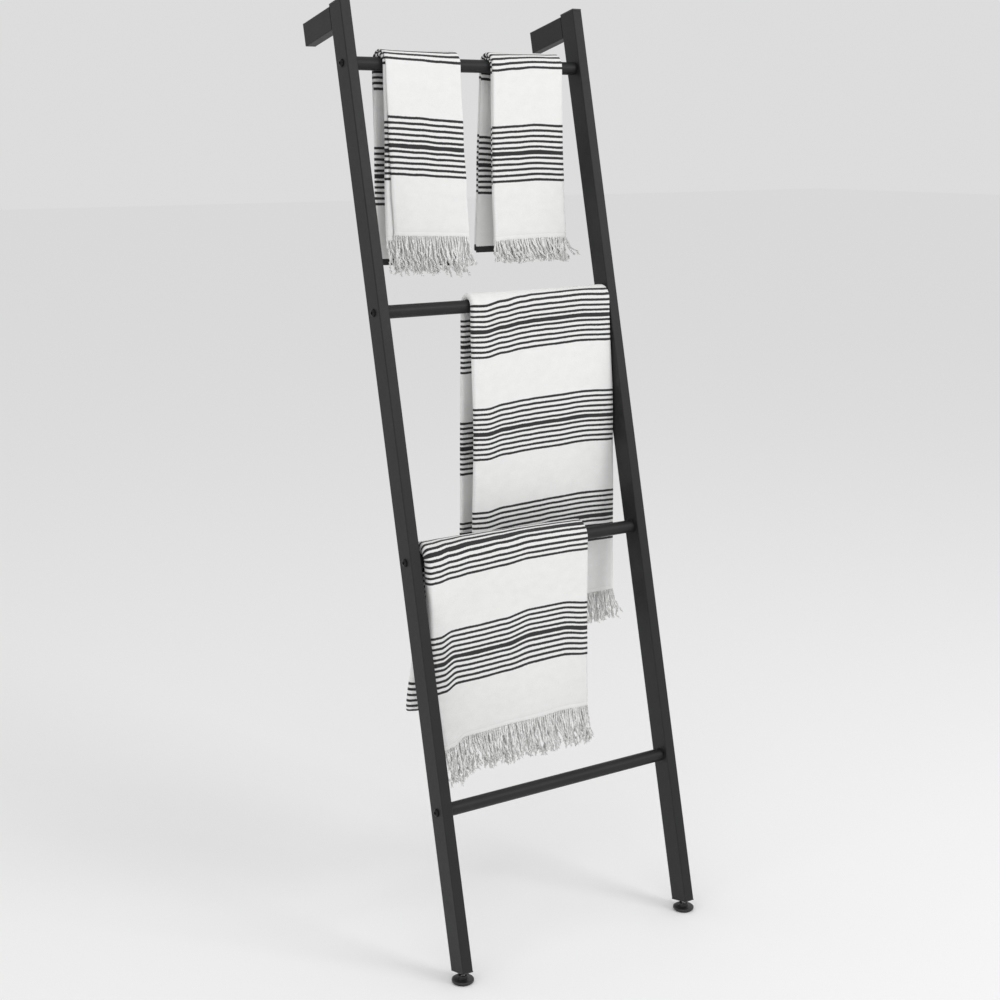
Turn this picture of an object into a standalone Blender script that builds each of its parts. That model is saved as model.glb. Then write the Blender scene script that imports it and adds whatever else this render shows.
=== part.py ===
"""Leaning towel ladder with four fringed cotton towels, in metres, +Z up.

The ladder leans back towards +Y, and its front faces -Y. Ladder parts are placed in the rail's own
frame: X across, Y back from the rail's front face, Z along the rail from its lower end. That frame
hangs on one empty, turned by the lean angle. Towels hang straight down, so they are placed upright.
"""

import math

import bmesh
import bpy
from mathutils import Euler, Matrix, Vector

# Driving dimensions of the frame
LEAN_ANGLE = math.radians(13.0)
OUTSIDE_WIDTH = 0.500
RAIL_LENGTH = 1.650
RAIL_DEPTH = 0.040
RAIL_THICKNESS = 0.020
RAIL_WALL = 0.0015
RAIL_CORNER_RADIUS = 0.0018
RAIL_END_HEIGHT = 0.022
ARM_LENGTH = 0.099
RUNG_COUNT = 4
RUNG_DIAMETER = 0.023
RUNG_WALL = 0.0012
LOWEST_RUNG = 0.272
TOP_RUNG_BELOW_END = 0.106

# Plastic end fittings
TOP_CAP_FLANGE = 0.004
ARM_CAP_FLANGE = 0.003
CAP_PLUG_DEPTH = 0.012
CAP_PLUG_WALL = 0.0015
INSERT_FLANGE = 0.002
INSERT_DEPTH = 0.025

# Rung fasteners
SCREW_DIAMETER = 0.008
SCREW_LENGTH = 0.035
SCREW_HEAD_DIAMETER = 0.014
SCREW_HEAD_HEIGHT = 0.004
SCREW_SOCKET_FLATS = 0.005
SCREW_SOCKET_DEPTH = 0.0025
RUNG_PLUG_LENGTH = 0.018

# Levelling feet, with heights above the floor
STUD_DIAMETER = 0.008
STUD_LENGTH = 0.045
NECK_DIAMETER = 0.0055
BALL_DIAMETER = 0.010
BALL_HEIGHT = 0.009
BASE_DIAMETER = 0.038
BASE_RIM_TOP = 0.0062
BOSS_DIAMETER = 0.016
BOSS_TOP = 0.013
PAD_THICKNESS = 0.002
PAD_DIAMETER = 0.034

# Clearances
MATING_GAP = 0.0003
THREAD_GAP = 0.0003
SOCKET_GAP = 0.0003

# Towels: folded sizes. A drop is measured from the rung's axis down to the towel's end.
FRINGE_LENGTH = 0.065
FRINGE_THICKNESS = 0.003
HAND_TOWEL_WIDTH = 0.150
HAND_TOWEL_THICKNESS = 0.0130
HAND_TOWEL_FRONT_DROP = 0.300
HAND_TOWEL_BACK_DROP = 0.335
UPPER_TOWEL_WIDTH = 0.298
UPPER_TOWEL_THICKNESS = 0.0105
UPPER_TOWEL_FRONT_DROP = 0.546
UPPER_TOWEL_BACK_DROP = 0.560
LOWER_TOWEL_WIDTH = 0.340
LOWER_TOWEL_THICKNESS = 0.0130
LOWER_TOWEL_FRONT_DROP = 0.322
LOWER_TOWEL_BACK_DROP = 0.275
TOWEL_TO_RAIL = 0.004
HAND_TOWEL_SPREAD = (0.32, 0.43, 0.25)

ROUND_STEPS = 32
SMALL_STEPS = 24

# What follows from the driving dimensions
INNER_HALF = OUTSIDE_WIDTH / 2 - RAIL_THICKNESS
RAIL_X = OUTSIDE_WIDTH / 2 - RAIL_THICKNESS / 2
RAIL_TUBE_START = INSERT_FLANGE + MATING_GAP
RAIL_TUBE_END = RAIL_LENGTH - TOP_CAP_FLANGE - MATING_GAP
ARM_START = RAIL_DEPTH + MATING_GAP
ARM_END = RAIL_DEPTH + ARM_LENGTH
ARM_CAP_END = ARM_END + MATING_GAP + ARM_CAP_FLANGE
RUNG_DEPTH = RAIL_DEPTH / 2
RUNG_RADIUS = RUNG_DIAMETER / 2
RUNG_SPACING = (RAIL_LENGTH - TOP_RUNG_BELOW_END - LOWEST_RUNG) / (RUNG_COUNT - 1)
SCREW_HOLE_RADIUS = SCREW_DIAMETER / 2 + MATING_GAP
SIDES = (("left", -1), ("right", 1))


def leaned(depth, along):
    """World Y and Z, before centring, of a point in the rail's frame."""
    y = depth * math.cos(LEAN_ANGLE) + along * math.sin(LEAN_ANGLE)
    z = RAIL_END_HEIGHT - depth * math.sin(LEAN_ANGLE) + along * math.cos(LEAN_ANGLE)
    return y, z


def rung_along(number):
    """Distance of a rung along the rail. Rung 1 is the top one."""
    return LOWEST_RUNG + (RUNG_COUNT - number) * RUNG_SPACING


# The stud runs down the middle of the rail to the ball.
STUD_TO_BALL = (leaned(RUNG_DEPTH, 0)[1] - BALL_HEIGHT) / math.cos(LEAN_ANGLE)
BALL_Y = leaned(RUNG_DEPTH, -STUD_TO_BALL)[0]
FRONT_Y = min(BALL_Y - BASE_DIAMETER / 2, 0)
REAR_Y = leaned(ARM_CAP_END, RAIL_TUBE_END)[0]
CENTRING_Y = -(FRONT_Y + REAR_Y) / 2


def clear_scene():
    for obj in list(bpy.data.objects):
        bpy.data.objects.remove(obj, do_unlink=True)


def new_collection(name):
    collection = bpy.data.collections.new(name)
    bpy.context.scene.collection.children.link(collection)
    return collection


def new_material(name, colour, roughness, metallic=0.0):
    material = bpy.data.materials.new(name)
    material.use_nodes = True
    shader = material.node_tree.nodes["Principled BSDF"]
    shader.inputs["Base Color"].default_value = (*colour, 1.0)
    shader.inputs["Roughness"].default_value = roughness
    shader.inputs["Metallic"].default_value = metallic
    material.diffuse_color = (*colour, 1.0)
    return material


def new_empty(name, parent=None, location=(0, 0, 0), rotation=(0, 0, 0)):
    empty = bpy.data.objects.new(name, None)
    PARTS.objects.link(empty)
    empty.parent = parent
    empty.location = location
    empty.rotation_euler = rotation
    return empty


def place(obj, material=None, parent=None, location=(0, 0, 0), rotation=(0, 0, 0)):
    """Gives a part its material and its place, and shades it smooth where it is round."""
    if material:
        obj.data.materials.clear()
        obj.data.materials.append(material)
    obj.data.shade_smooth()
    obj.data.set_sharp_from_angle(angle=math.radians(35))
    obj.parent = parent
    obj.location = location
    obj.rotation_euler = rotation
    return obj


def object_from(name, bm):
    mesh = bpy.data.meshes.new(name)
    bm.to_mesh(mesh)
    bm.free()
    obj = bpy.data.objects.new(name, mesh)
    PARTS.objects.link(obj)
    return obj


def box(name, size, centre=(0, 0, 0)):
    bm = bmesh.new()
    bmesh.ops.create_cube(bm, size=1.0)
    bmesh.ops.scale(bm, vec=Vector(size), verts=bm.verts)
    bmesh.ops.translate(bm, vec=Vector(centre), verts=bm.verts)
    return object_from(name, bm)


def cylinder(name, radius, length, steps=SMALL_STEPS, axis="Z", capped=True):
    bm = bmesh.new()
    bmesh.ops.create_cone(
        bm, cap_ends=capped, segments=steps, radius1=radius, radius2=radius, depth=length
    )
    if axis == "X":
        bmesh.ops.rotate(bm, matrix=Matrix.Rotation(math.pi / 2, 3, "Y"), verts=bm.verts)
    return object_from(name, bm)


def turned(name, profile, steps=SMALL_STEPS):
    """A lathe shape. The profile is (radius, height) pairs that run down its outer side."""
    bm = bmesh.new()
    points = [bm.verts.new((radius, 0, height)) for radius, height in profile]
    for first, second in zip(points, points[1:]):
        bm.edges.new((first, second))
    if profile[0][0] > 0:
        bm.edges.new((points[-1], points[0]))
    obj = object_from(name, bm)
    screw = obj.modifiers.new("lathe", "SCREW")
    screw.axis = "Z"
    screw.steps = steps
    screw.render_steps = steps
    screw.use_merge_vertices = True
    screw.merge_threshold = 0.00001
    return obj


def arc(radius, start, end, count):
    """Points on a circle about the axis, by angle from the equator in degrees."""
    angles = [math.radians(start + (end - start) * i / count) for i in range(count + 1)]
    return [(radius * math.cos(angle), radius * math.sin(angle)) for angle in angles]


def combine(obj, other, operation):
    """Joins or cuts obj by other, which moves to the cutters' collection."""
    PARTS.objects.unlink(other)
    CUTTERS.objects.link(other)
    other.hide_render = True
    other.display_type = "WIRE"
    boolean = obj.modifiers.new(operation.lower(), "BOOLEAN")
    boolean.operation = operation
    boolean.object = other


def finished_mesh(obj):
    """The evaluated mesh of a template, which is then removed, for copies to share."""
    graph = bpy.context.evaluated_depsgraph_get()
    mesh = bpy.data.meshes.new_from_object(obj.evaluated_get(graph))
    mesh.name = obj.name
    bpy.data.objects.remove(obj, do_unlink=True)
    return mesh


def copy_of(mesh, name):
    obj = bpy.data.objects.new(name, mesh)
    PARTS.objects.link(obj)
    return obj


def rectangular_tube(name, size, wall, long_axis):
    """An open box of the outside size, its long edges rounded, thickened inwards."""
    bm = bmesh.new()
    bmesh.ops.create_cube(bm, size=1.0)
    bmesh.ops.scale(bm, vec=Vector(size), verts=bm.verts)
    ends = [face for face in bm.faces if abs(face.normal[long_axis]) > 0.5]
    bmesh.ops.delete(bm, geom=ends, context="FACES_ONLY")
    corners = [
        edge
        for edge in bm.edges
        if abs((edge.verts[0].co - edge.verts[1].co)[long_axis]) > size[long_axis] / 2
    ]
    bmesh.ops.bevel(
        bm,
        geom=corners,
        offset=RAIL_CORNER_RADIUS,
        offset_type="OFFSET",
        segments=3,
        profile=0.5,
        affect="EDGES",
    )
    obj = object_from(name, bm)
    solidify = obj.modifiers.new("wall", "SOLIDIFY")
    solidify.thickness = wall
    solidify.offset = -1
    solidify.use_even_offset = True
    return obj


def round_edges(obj, width, segments=2):
    bevel = obj.modifiers.new("rounded edges", "BEVEL")
    bevel.width = width
    bevel.segments = segments
    bevel.limit_method = "ANGLE"
    return obj


def make_rail(side, sign):
    length = RAIL_TUBE_END - RAIL_TUBE_START
    rail = rectangular_tube(
        f"{side}_rail", (RAIL_THICKNESS, RAIL_DEPTH, length), RAIL_WALL, long_axis=2
    )
    middle = (RAIL_TUBE_START + RAIL_TUBE_END) / 2
    place(rail, STEEL, LADDER, (sign * RAIL_X, RAIL_DEPTH / 2, middle))
    for number in range(1, RUNG_COUNT + 1):
        hole = cylinder(
            f"{side}_rail_hole_{number}", SCREW_HOLE_RADIUS, 2 * RAIL_THICKNESS, axis="X"
        )
        place(hole, None, LADDER, (sign * RAIL_X, RUNG_DEPTH, rung_along(number)))
        combine(rail, hole, "DIFFERENCE")


def tube_plug(name, flange, depth):
    """A flange as wide as the rail's section with a plug on its underside, pointing down -Z."""
    body = box(name, (RAIL_THICKNESS, RAIL_DEPTH, flange), (0, 0, flange / 2))
    round_edges(body, 0.3 * flange)
    inset = 2 * (RAIL_WALL + MATING_GAP)
    overlap = flange / 2
    plug = box(
        f"{name}_plug",
        (RAIL_THICKNESS - inset, RAIL_DEPTH - inset, depth + overlap),
        (0, 0, (overlap - depth) / 2),
    )
    round_edges(plug, RAIL_CORNER_RADIUS, 1)
    combine(body, plug, "UNION")
    return body, plug


def make_cap(name, flange, location, rotation):
    """A push-in tube cap, hollow on the inside."""
    cap, plug = tube_plug(name, flange, CAP_PLUG_DEPTH)
    hollow_inset = 2 * (RAIL_WALL + MATING_GAP + CAP_PLUG_WALL)
    hollow = box(
        f"{name}_hollow",
        (RAIL_THICKNESS - hollow_inset, RAIL_DEPTH - hollow_inset, 2 * CAP_PLUG_DEPTH),
        (0, 0, -CAP_PLUG_DEPTH - CAP_PLUG_WALL / 2),
    )
    combine(cap, hollow, "DIFFERENCE")
    for piece in (cap, plug, hollow):
        place(piece, CAP_PLASTIC if piece is cap else None, LADDER, location, rotation)


def make_rail_fittings(side, sign):
    x = sign * RAIL_X
    centre = RAIL_DEPTH / 2
    make_cap(f"{side}_rail_top_cap", TOP_CAP_FLANGE, (x, centre, RAIL_LENGTH - TOP_CAP_FLANGE), (0, 0, 0))

    insert, plug = tube_plug(f"{side}_foot_insert", INSERT_FLANGE, INSERT_DEPTH)
    bore = cylinder(
        f"{side}_foot_insert_bore", STUD_DIAMETER / 2 + THREAD_GAP, 3 * INSERT_DEPTH, ROUND_STEPS
    )
    combine(insert, bore, "DIFFERENCE")
    for piece in (insert, plug, bore):
        place(
            piece,
            CAP_PLASTIC if piece is insert else None,
            LADDER,
            (x, centre, INSERT_FLANGE),
            (math.pi, 0, 0),
        )


def make_wall_arm(side, sign):
    x = sign * RAIL_X
    along = RAIL_TUBE_END - RAIL_DEPTH / 2
    length = ARM_END - ARM_START
    arm = rectangular_tube(
        f"{side}_wall_arm", (RAIL_THICKNESS, length, RAIL_DEPTH), RAIL_WALL, long_axis=1
    )
    place(arm, STEEL, LADDER, (x, (ARM_START + ARM_END) / 2, along))
    make_cap(
        f"{side}_wall_arm_cap",
        ARM_CAP_FLANGE,
        (x, ARM_END + MATING_GAP, along),
        (-math.pi / 2, 0, 0),
    )


def make_rung(number):
    rung = cylinder(
        f"rung_{number}", RUNG_RADIUS, 2 * (INNER_HALF - MATING_GAP), ROUND_STEPS, "X", capped=False
    )
    solidify = rung.modifiers.new("wall", "SOLIDIFY")
    solidify.thickness = RUNG_WALL
    solidify.offset = -1
    place(rung, STEEL, LADDER, (0, RUNG_DEPTH, rung_along(number)))


def screw_mesh():
    """A button-head socket screw, its head's underside at height 0 and its head up +Z."""
    head = SCREW_HEAD_DIAMETER / 2
    shank = SCREW_DIAMETER / 2
    dome = [
        (head * math.cos(angle), SCREW_HEAD_HEIGHT * (0.2 + 0.8 * math.sin(angle)))
        for angle in [math.radians(75 - 15 * i) for i in range(6)]
    ]
    profile = [(0, SCREW_HEAD_HEIGHT)] + dome + [
        (head, 0),
        (shank, 0),
        (shank, -SCREW_LENGTH + 0.001),
        (shank - 0.001, -SCREW_LENGTH),
        (0, -SCREW_LENGTH),
    ]
    screw = turned("socket_screw", profile)
    socket = cylinder(
        "socket_cutter",
        SCREW_SOCKET_FLATS / math.sqrt(3),
        2 * SCREW_SOCKET_DEPTH,
        steps=6,
    )
    socket.location.z = SCREW_HEAD_HEIGHT
    combine(screw, socket, "DIFFERENCE")
    mesh = finished_mesh(screw)
    bpy.data.objects.remove(socket, do_unlink=True)
    return mesh


def make_rung_fasteners(number, mesh):
    plug_radius = RUNG_RADIUS - RUNG_WALL - MATING_GAP
    for side, sign in SIDES:
        outwards = (0, sign * math.pi / 2, 0)
        screw = copy_of(mesh, f"rung_{number}_{side}_screw")
        head_at = OUTSIDE_WIDTH / 2 + MATING_GAP
        place(screw, SCREW_STEEL, LADDER, (sign * head_at, RUNG_DEPTH, rung_along(number)), outwards)
        plug = turned(
            f"rung_{number}_{side}_plug",
            [
                (SCREW_HOLE_RADIUS, RUNG_PLUG_LENGTH / 2),
                (plug_radius, RUNG_PLUG_LENGTH / 2),
                (plug_radius, -RUNG_PLUG_LENGTH / 2),
                (SCREW_HOLE_RADIUS, -RUNG_PLUG_LENGTH / 2),
            ],
        )
        plug_at = INNER_HALF - MATING_GAP - RUNG_PLUG_LENGTH / 2
        place(plug, ZINC, LADDER, (sign * plug_at, RUNG_DEPTH, rung_along(number)), outwards)


def make_foot(side, sign):
    """A swivel levelling foot. Its pieces are turned about the ball's centre."""
    ball_centre = new_empty(f"{side}_foot_ball_centre", RACK, (sign * RAIL_X, BALL_Y, BALL_HEIGHT))
    ball = BALL_DIAMETER / 2
    neck = NECK_DIAMETER / 2
    stud = STUD_DIAMETER / 2
    pin_end = -0.3 * ball
    lean = (-LEAN_ANGLE, 0, 0)

    stud_obj = turned(
        f"{side}_foot_stud",
        [
            (0, STUD_LENGTH),
            (stud - 0.0008, STUD_LENGTH),
            (stud, STUD_LENGTH - 0.0008),
            (stud, 1.6 * ball),
            (neck, 1.6 * ball - (stud - neck)),
            (neck, pin_end + MATING_GAP),
            (0, pin_end + MATING_GAP),
        ],
    )
    place(stud_obj, ZINC, ball_centre, rotation=lean)

    bore = neck + MATING_GAP
    mouth = math.degrees(math.acos(bore / ball))
    shell = arc(ball, mouth, -90, 10)[:-1]
    ball_obj = turned(f"{side}_foot_ball", [(0, pin_end), (bore, pin_end)] + shell + [(0, -ball)])
    place(ball_obj, ZINC, ball_centre, rotation=lean)

    socket = ball + SOCKET_GAP
    boss = BOSS_DIAMETER / 2
    rim = BASE_DIAMETER / 2
    rim_top = BASE_RIM_TOP - BALL_HEIGHT
    boss_top = BOSS_TOP - BALL_HEIGHT
    floor = PAD_THICKNESS + MATING_GAP - BALL_HEIGHT
    socket_wall = arc(socket, -90, 27, 8)[1:]
    base_profile = [(0, -socket)] + socket_wall + [
        (0.92 * ball + 0.0006, boss_top),
        (boss - 0.0005, boss_top),
        (boss, boss_top - 0.0005),
        (boss + 0.0005, rim_top + 0.0012),
        (boss + 0.002, rim_top + 0.0006),
        (rim - 0.0015, rim_top),
        (rim, rim_top - 0.0012),
        (rim, floor + 0.0004),
        (rim - 0.0004, floor),
        (0, floor),
    ]
    place(turned(f"{side}_foot_base", base_profile, ROUND_STEPS), BASE_PLASTIC, ball_centre)

    pad_radius = PAD_DIAMETER / 2
    pad_profile = [
        (0, PAD_THICKNESS - BALL_HEIGHT),
        (pad_radius, PAD_THICKNESS - BALL_HEIGHT),
        (pad_radius, 0.0004 - BALL_HEIGHT),
        (pad_radius - 0.0004, -BALL_HEIGHT),
        (0, -BALL_HEIGHT),
    ]
    place(turned(f"{side}_foot_pad", pad_profile, ROUND_STEPS), RUBBER, ball_centre)


def drape_path(radius, front_drop, back_drop):
    """Front end, up, over the rung and down to the back end, as (Y, Z) pairs about the rung's axis."""
    leg_rows = 10
    front = [(-radius, -front_drop * (1 - i / leg_rows)) for i in range(leg_rows)]
    over = [
        (-radius * math.cos(math.pi * i / 12), radius * math.sin(math.pi * i / 12))
        for i in range(13)
    ]
    back = [(radius, -back_drop * (i + 1) / leg_rows) for i in range(leg_rows)]
    return front + over + back


def sheet_solid(name, path, left_edge, right_edge, thickness):
    """A strip along the path between two edges, given as functions of height, then thickened."""
    bm = bmesh.new()
    left = [bm.verts.new((left_edge(y, z), y, z)) for y, z in path]
    right = [bm.verts.new((right_edge(y, z), y, z)) for y, z in path]
    spine = [bm.edges.new(pair) for pair in zip(left, left[1:])]
    other = [bm.edges.new(pair) for pair in zip(right, right[1:])]
    bmesh.ops.bridge_loops(bm, edges=spine + other)
    bmesh.ops.recalc_face_normals(bm, faces=bm.faces)
    obj = object_from(name, bm)
    solidify = obj.modifiers.new("cloth thickness", "SOLIDIFY")
    solidify.thickness = thickness
    solidify.offset = 0
    solidify.use_even_offset = True
    return obj


def make_towel(name, rung, x, width, thickness, front_drop, back_drop, leans):
    """A folded towel over a rung. leans says how far each edge has moved at the front and back ends."""
    y, z = leaned(RUNG_DEPTH, rung_along(rung))
    radius = RUNG_RADIUS + MATING_GAP + thickness / 2
    front_left, front_right, back_left, back_right = leans

    def edge(start, at_front, at_back):
        def across(y, z):
            if z >= 0:
                return start
            return start + (at_front * z / -front_drop if y < 0 else at_back * z / -back_drop)

        return across

    left = edge(-width / 2, front_left, back_left)
    right = edge(width / 2, front_right, back_right)
    path = drape_path(radius, front_drop, back_drop)
    towel = sheet_solid(name, path, left, right, thickness)
    place(towel, COTTON, RACK, (x, y, z))

    top = -front_drop - MATING_GAP
    fringe_path = [(-radius, top - FRINGE_LENGTH), (-radius, top)]
    ends = (left(-1, -front_drop), right(-1, -front_drop))
    fringe = sheet_solid(
        f"{name}_fringe", fringe_path, lambda y, z: ends[0], lambda y, z: ends[1], FRINGE_THICKNESS
    )
    place(fringe, COTTON, RACK, (x, y, z))


def make_towels():
    spare = 2 * (INNER_HALF - HAND_TOWEL_WIDTH)
    left_gap, _, right_gap = (share * spare for share in HAND_TOWEL_SPREAD)
    hand_sizes = (
        HAND_TOWEL_WIDTH,
        HAND_TOWEL_THICKNESS,
        HAND_TOWEL_FRONT_DROP,
        HAND_TOWEL_BACK_DROP,
    )
    from_rail = INNER_HALF - HAND_TOWEL_WIDTH / 2
    make_towel("hand_towel_left", 1, left_gap - from_rail, *hand_sizes, (0.006, 0.012, 0.0, 0.004))
    make_towel("hand_towel_right", 1, from_rail - right_gap, *hand_sizes, (0.004, 0.010, -0.008, 0.0))
    make_towel(
        "bath_towel_upper",
        2,
        INNER_HALF - TOWEL_TO_RAIL - UPPER_TOWEL_WIDTH / 2,
        UPPER_TOWEL_WIDTH,
        UPPER_TOWEL_THICKNESS,
        UPPER_TOWEL_FRONT_DROP,
        UPPER_TOWEL_BACK_DROP,
        (0.0, 0.008, 0.0, 0.0),
    )
    make_towel(
        "bath_towel_lower",
        3,
        LOWER_TOWEL_WIDTH / 2 + TOWEL_TO_RAIL - INNER_HALF,
        LOWER_TOWEL_WIDTH,
        LOWER_TOWEL_THICKNESS,
        LOWER_TOWEL_FRONT_DROP,
        LOWER_TOWEL_BACK_DROP,
        (0.036, 0.006, -0.006, 0.0),
    )


clear_scene()
PARTS = new_collection("towel_ladder")
CUTTERS = new_collection("towel_ladder_cutters")
STEEL = new_material("black powder-coated steel", (0.033, 0.033, 0.034), 0.48, 0.0)
CAP_PLASTIC = new_material("black moulded plastic", (0.022, 0.022, 0.023), 0.45)
BASE_PLASTIC = new_material("black foot plastic", (0.020, 0.020, 0.020), 0.42)
SCREW_STEEL = new_material("blackened screw steel", (0.020, 0.020, 0.020), 0.35, 0.6)
ZINC = new_material("zinc-plated steel", (0.62, 0.63, 0.65), 0.30, 1.0)
RUBBER = new_material("black rubber", (0.015, 0.015, 0.015), 0.85)
COTTON = new_material("white woven cotton", (0.82, 0.82, 0.81), 0.90)

RACK = new_empty("rack_centre", location=(0, CENTRING_Y, 0))
LADDER = new_empty("rail_frame", RACK, (0, 0, RAIL_END_HEIGHT), (-LEAN_ANGLE, 0, 0))

for side_name, side_sign in SIDES:
    make_rail(side_name, side_sign)
    make_rail_fittings(side_name, side_sign)
    make_wall_arm(side_name, side_sign)
    make_foot(side_name, side_sign)
SCREW_MESH = screw_mesh()
for rung_number in range(1, RUNG_COUNT + 1):
    make_rung(rung_number)
    make_rung_fasteners(rung_number, SCREW_MESH)
make_towels()
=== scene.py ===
"""Leaning black towel ladder with four striped, fringed cotton towels, in metres, +Z up.

The ladder leans back towards +Y. The towels are drawn from the folded cloth outwards: each is one
sheet, folded to and fro across its width, laid over a rung and left to hang.
"""
import math

import bmesh
import bpy
import numpy as np
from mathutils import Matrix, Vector


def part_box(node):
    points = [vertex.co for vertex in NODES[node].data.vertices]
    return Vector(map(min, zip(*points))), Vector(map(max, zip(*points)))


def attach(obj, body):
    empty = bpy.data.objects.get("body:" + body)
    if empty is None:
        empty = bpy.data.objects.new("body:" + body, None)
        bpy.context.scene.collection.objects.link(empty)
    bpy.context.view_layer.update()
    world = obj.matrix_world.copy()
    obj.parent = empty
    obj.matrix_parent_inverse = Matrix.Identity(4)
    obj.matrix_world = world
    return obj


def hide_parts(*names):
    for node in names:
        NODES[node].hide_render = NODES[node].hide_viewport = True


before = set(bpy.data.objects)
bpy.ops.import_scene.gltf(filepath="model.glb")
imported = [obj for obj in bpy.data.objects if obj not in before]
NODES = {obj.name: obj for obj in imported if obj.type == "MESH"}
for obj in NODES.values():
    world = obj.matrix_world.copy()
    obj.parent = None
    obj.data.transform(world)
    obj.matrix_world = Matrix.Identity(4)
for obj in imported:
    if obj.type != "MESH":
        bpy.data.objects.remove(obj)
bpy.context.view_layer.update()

MM = 0.001
ON_RUNG = 0.4 * MM


# ---------------------------------------------------------------- camera, floor and light

def look_at(obj, target):
    """Turns a light so that its -Z axis points at the target."""
    direction = Vector(target) - obj.location
    obj.rotation_euler = direction.to_track_quat("-Z", "Y").to_euler()


def make_camera():
    """Eye height at the upper rungs, to the ladder's left, looking slightly down."""
    data = bpy.data.cameras.new("camera")
    data.sensor_width = 36.0
    data.lens = 58.95
    data.shift_y = -0.045
    camera = bpy.data.objects.new("camera", data)
    bpy.context.scene.collection.objects.link(camera)
    camera.location = (-1.583, -2.397, 1.401)
    camera.rotation_euler = [math.radians(angle) for angle in (78.97, 0.12, -33.34)]
    bpy.context.scene.camera = camera


def make_light(name, place, target, size, power):
    """A white rectangular area light. size is its width and height in metres, power is in watts."""
    data = bpy.data.lights.new(name, "AREA")
    data.shape = "RECTANGLE"
    data.size, data.size_y = size
    data.energy = power
    light = bpy.data.objects.new(name, data)
    bpy.context.scene.collection.objects.link(light)
    light.location = place
    look_at(light, target)


def make_studio():
    """A soft key from the right, two weak fills, a pale world and a floor that reaches far behind."""
    centre = Vector((0, 0, 0.85))
    make_light("key", (1.9, -3.4, 2.9), centre, (1.6, 1.6), 48)
    make_light("top", (-0.6, -1.0, 3.4), centre, (1.6, 1.6), 9)
    make_light("low fill", (-2.6, -1.0, 0.5), (0, 0, 0.4), (1.0, 1.2), 7)

    world = bpy.data.worlds.new("pale studio")
    bpy.context.scene.world = world
    world.use_nodes = True
    background = world.node_tree.nodes["Background"]
    background.inputs["Color"].default_value = (1.0, 1.0, 1.0, 1.0)
    background.inputs["Strength"].default_value = 0.72

    bpy.ops.mesh.primitive_plane_add(size=60)
    floor = bpy.context.object
    floor.name = "floor"
    floor.data.materials.append(pale_floor())
    bpy.context.scene.view_settings.view_transform = "Standard"


# ---------------------------------------------------------------- materials

def linear(hex_colour):
    """sRGB hex to linear colour."""
    values = [int(hex_colour[i : i + 2], 16) / 255 for i in (0, 2, 4)]
    return (*[v / 12.92 if v <= 0.04045 else ((v + 0.055) / 1.055) ** 2.4 for v in values], 1.0)


def new_material(name, colour, roughness, **settings):
    """A Principled material. settings are more of the shader's sockets, by name."""
    material = bpy.data.materials.new(name)
    material.use_nodes = True
    shader = material.node_tree.nodes["Principled BSDF"]
    shader.inputs["Base Color"].default_value = linear(colour)
    shader.inputs["Roughness"].default_value = roughness
    for socket, value in settings.items():
        shader.inputs[socket.replace("_", " ")].default_value = value
    return material, material.node_tree, shader


def add(tree, kind, values=None, links=None, **settings):
    """Adds a node with its settings, its sockets' values and its links, and returns it."""
    node = tree.nodes.new(kind)
    for name, value in settings.items():
        setattr(node, name, value)
    for socket, value in (values or {}).items():
        node.inputs[socket].default_value = value
    for socket, source in (links or {}).items():
        tree.links.new(source, node.inputs[socket])
    return node


def maths(tree, operation, first, second=None, third=None):
    """A Math node's output. Each operand is a number or another node's output."""
    values, links = {}, {}
    for index, operand in enumerate((first, second, third)):
        if operand is None:
            continue
        target = values if isinstance(operand, (int, float)) else links
        target[index] = operand
    return add(tree, "ShaderNodeMath", values, links, operation=operation).outputs[0]


def grain(tree, size, detail=2.0, vector=None):
    """Noise whose grains are about this size, in metres, on Object coordinates or a given vector."""
    if vector is None:
        vector = add(tree, "ShaderNodeTexCoord").outputs["Object"]
    values = {"Scale": 1 / size, "Detail": detail, "Roughness": 0.55}
    return add(tree, "ShaderNodeTexNoise", values, {"Vector": vector}).outputs["Fac"]


def bump(tree, shader, height, depth, strength=1.0):
    """Joins a height of 0 to 1 to the shader's normal. depth is how deep 1 is, in metres."""
    values = {"Distance": depth, "Strength": strength}
    node = add(tree, "ShaderNodeBump", values, {"Height": height})
    tree.links.new(node.outputs["Normal"], shader.inputs["Normal"])


def tint(tree, shader, factor, dark, light):
    """Colours the shader from dark to light along a factor."""
    mix = add(tree, "ShaderNodeMix", {6: linear(dark), 7: linear(light)}, {0: factor}, data_type="RGBA")
    tree.links.new(mix.outputs[2], shader.inputs["Base Color"])


def uneven_roughness(tree, shader, factor, low, high):
    """Varies the shader's roughness from low to high along a factor."""
    spread = add(tree, "ShaderNodeMapRange", {"To Min": low, "To Max": high}, {"Value": factor})
    tree.links.new(spread.outputs[0], shader.inputs["Roughness"])


def pale_floor():
    """Seamless pale floor with no shine, so that only the soft shadows show on it."""
    return new_material("pale matte floor", "fbfbfb", 1.0, Specular_IOR_Level=0.0)[0]


def powder_coat():
    """Baked powder coat: matte charcoal black, with a fine orange-peel skin."""
    material, tree, shader = new_material(
        "black powder-coated steel", "222223", 0.5, Specular_IOR_Level=0.3
    )
    tint(tree, shader, grain(tree, 0.04), "1b1b1c", "232324")
    peel = grain(tree, 1.1 * MM, 3.0)
    uneven_roughness(tree, shader, grain(tree, 0.006), 0.44, 0.56)
    bump(tree, shader, peel, 0.12 * MM, 0.7)
    return material


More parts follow.
